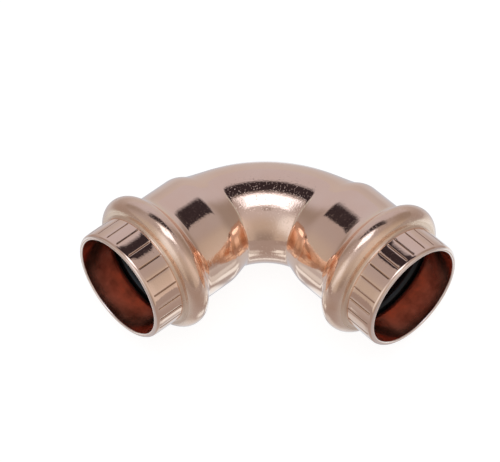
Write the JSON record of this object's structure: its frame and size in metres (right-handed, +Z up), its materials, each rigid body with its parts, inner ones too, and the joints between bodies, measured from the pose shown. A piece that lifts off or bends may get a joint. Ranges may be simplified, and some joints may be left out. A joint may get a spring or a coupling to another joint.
{
  "type": "press fit elbow fitting",
  "caption": "Right-angle copper press-fit elbow: a smooth bend with a beaded socket at either end, each bead holding a rubber seal ring for the inserted pipe.",
  "frame": {"origin": "bench point under the middle of the elbow's box, as it lies on its two beads and the underside of its bend", "axes": "+Z up from the bench; the right socket opens towards +X and the left socket towards -Y, both rising about 12 degrees"},
  "size_m": [0.0604, 0.0604, 0.03],
  "materials": {
    "copper": "polished copper",
    "seal_rubber": "matte"
  },
  "bodies": {
    "root": {"elbow_body": "copper", "o_ring_left": "seal_rubber", "o_ring_right": "seal_rubber"}
  },
  "joints": []
}
